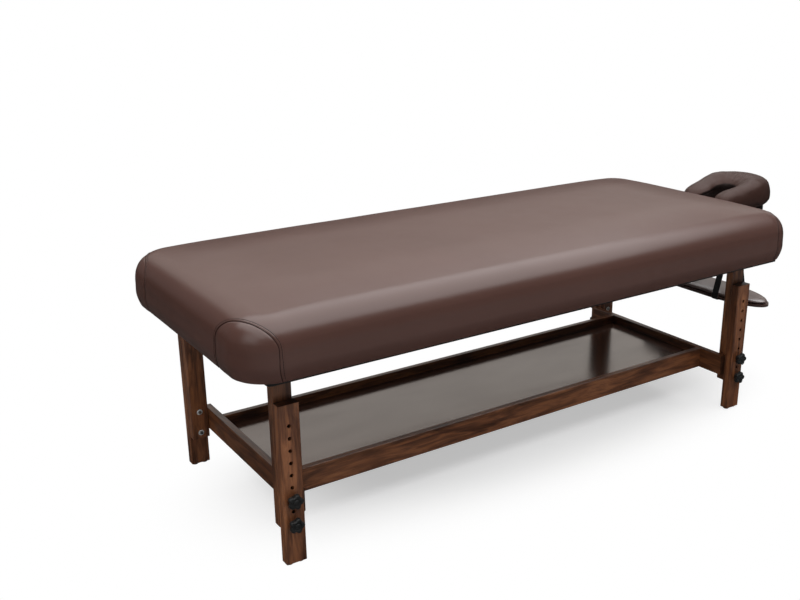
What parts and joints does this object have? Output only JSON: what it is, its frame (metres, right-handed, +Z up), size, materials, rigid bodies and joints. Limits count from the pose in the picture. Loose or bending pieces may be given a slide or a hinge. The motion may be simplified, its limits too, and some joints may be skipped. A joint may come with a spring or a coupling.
{
  "type": "treatment table",
  "caption": "Stationary padded treatment table with rolled edges, sewn corner gussets, height-adjustable wooden legs, open shelf, tilting horseshoe headrest and hanging arm sling.",
  "frame": {"origin": "on the floor, under the middle of the whole part's bounding box", "axes": "+X along the table towards the headrest, +Y across to the far side, +Z up"},
  "size_m": [2.155, 0.8, 0.68],
  "materials": {
    "pad_cover": "satin",
    "foam": "matte",
    "deck_wood": "matte",
    "stained_wood": "satin",
    "shelf_board": "gloss",
    "black_board": "matte",
    "black_plastic": "satin",
    "steel": "satin",
    "cradle_alloy": "satin",
    "webbing": "matte"
  },
  "bodies": {
    "table": {"cover_main": "pad_cover", "cover_corner_gussets": "pad_cover", "foam_core": "foam", "deck_panel": "deck_wood", "deck_side_rail_near": "deck_wood", "deck_side_rail_far": "deck_wood", "deck_end_rail_foot": "deck_wood", "deck_end_rail_head": "deck_wood", "upper_leg_foot_near": "stained_wood", "upper_leg_foot_far": "stained_wood", "upper_leg_head_near": "stained_wood", "upper_leg_head_far": "stained_wood", "shelf_end_rail_foot": "stained_wood", "shelf_end_rail_head": "stained_wood", "shelf_long_rail_near": "stained_wood", "shelf_long_rail_far": "stained_wood", "shelf_panel": "shelf_board", "base_panel": "black_board", "leg_cross_rail_foot": "black_board", "leg_cross_rail_head": "black_board", "cradle_sockets": "black_plastic", "leg_head_bolts": "steel"},
    "leg_foot_near": {"lower_leg_foot_near": "stained_wood", "foot_glides_foot_near": "black_plastic"},
    "leg_foot_far": {"lower_leg_foot_far": "stained_wood", "foot_glides_foot_far": "black_plastic"},
    "leg_head_near": {"lower_leg_head_near": "stained_wood", "foot_glides_head_near": "black_plastic"},
    "leg_head_far": {"lower_leg_head_far": "stained_wood", "foot_glides_head_far": "black_plastic"},
    "knob_turn_upper_foot_near": {"knob_upper_foot_near": "black_plastic", "knob_stud_upper_foot_near": "steel"},
    "knob_turn_lower_foot_near": {"knob_lower_foot_near": "black_plastic", "knob_stud_lower_foot_near": "steel"},
    "knob_turn_upper_foot_far": {"knob_upper_foot_far": "black_plastic", "knob_stud_upper_foot_far": "steel"},
    "knob_turn_lower_foot_far": {"knob_lower_foot_far": "black_plastic", "knob_stud_lower_foot_far": "steel"},
    "knob_turn_upper_head_near": {"knob_upper_head_near": "black_plastic", "knob_stud_upper_head_near": "steel"},
    "knob_turn_lower_head_near": {"knob_lower_head_near": "black_plastic", "knob_stud_lower_head_near": "steel"},
    "knob_turn_upper_head_far": {"knob_upper_head_far": "black_plastic", "knob_stud_upper_head_far": "steel"},
    "knob_turn_lower_head_far": {"knob_lower_head_far": "black_plastic", "knob_stud_lower_head_far": "steel"},
    "cradle": {"cradle_dowels": "cradle_alloy", "cradle_crossbar": "cradle_alloy", "cradle_arms": "cradle_alloy", "cradle_tilt_rod": "steel"},
    "headrest": {"cradle_platform": "black_board", "cradle_cushion": "pad_cover"},
    "lever": {"cradle_lever": "black_plastic"},
    "sling": {"sling_board": "black_board", "sling_pad": "pad_cover", "sling_straps": "webbing"}
  },
  "joints": [
    {"name": "leg_height_foot_near", "type": "slide", "parent": "table", "child": "leg_foot_near", "axis": [0, 0, -1], "range_m": [0, 0.192]},
    {"name": "leg_height_foot_far", "type": "slide", "parent": "table", "child": "leg_foot_far", "axis": [0, 0, -1], "range_m": [0, 0.192]},
    {"name": "leg_height_head_near", "type": "slide", "parent": "table", "child": "leg_head_near", "axis": [0, 0, -1], "range_m": [0, 0.192]},
    {"name": "leg_height_head_far", "type": "slide", "parent": "table", "child": "leg_head_far", "axis": [0, 0, -1], "range_m": [0, 0.192]},
    {"name": "knob_upper_foot_near", "type": "hinge", "parent": "table", "child": "knob_turn_upper_foot_near", "pos_m": [-0.9475, -0.3255, 0.178], "axis": [0, -1, 0], "continuous": true},
    {"name": "knob_lower_foot_near", "type": "hinge", "parent": "table", "child": "knob_turn_lower_foot_near", "pos_m": [-0.9475, -0.3255, 0.114], "axis": [0, -1, 0], "continuous": true},
    {"name": "knob_upper_foot_far", "type": "hinge", "parent": "table", "child": "knob_turn_upper_foot_far", "pos_m": [-0.9475, 0.3255, 0.178], "axis": [0, 1, 0], "continuous": true},
    {"name": "knob_lower_foot_far", "type": "hinge", "parent": "table", "child": "knob_turn_lower_foot_far", "pos_m": [-0.9475, 0.3255, 0.114], "axis": [0, 1, 0], "continuous": true},
    {"name": "knob_upper_head_near", "type": "hinge", "parent": "table", "child": "knob_turn_upper_head_near", "pos_m": [0.6425, -0.3255, 0.178], "axis": [0, -1, 0], "continuous": true},
    {"name": "knob_lower_head_near", "type": "hinge", "parent": "table", "child": "knob_turn_lower_head_near", "pos_m": [0.6425, -0.3255, 0.114], "axis": [0, -1, 0], "continuous": true},
    {"name": "knob_upper_head_far", "type": "hinge", "parent": "table", "child": "knob_turn_upper_head_far", "pos_m": [0.6425, 0.3255, 0.178], "axis": [0, 1, 0], "continuous": true},
    {"name": "knob_lower_head_far", "type": "hinge", "parent": "table", "child": "knob_turn_lower_head_far", "pos_m": [0.6425, 0.3255, 0.114], "axis": [0, 1, 0], "continuous": true},
    {"name": "cradle_pull_out", "type": "slide", "parent": "table", "child": "cradle", "axis": [1, 0, 0], "range_m": [0, 0.06]},
    {"name": "headrest_tilt", "type": "hinge", "parent": "cradle", "child": "headrest", "pos_m": [0.8455, 0, 0.56], "axis": [0, 1, 0], "range_deg": [-15, 30]},
    {"name": "lever_turn", "type": "hinge", "parent": "cradle", "child": "lever", "pos_m": [0.8455, -0.14, 0.56], "axis": [0, 1, 0], "range_deg": [0, 70]},
    {"name": "sling_swing", "type": "hinge", "parent": "cradle", "child": "sling", "pos_m": [0.8455, 0, 0.56], "axis": [0, 1, 0], "range_deg": [-10, 10]}
  ]
}
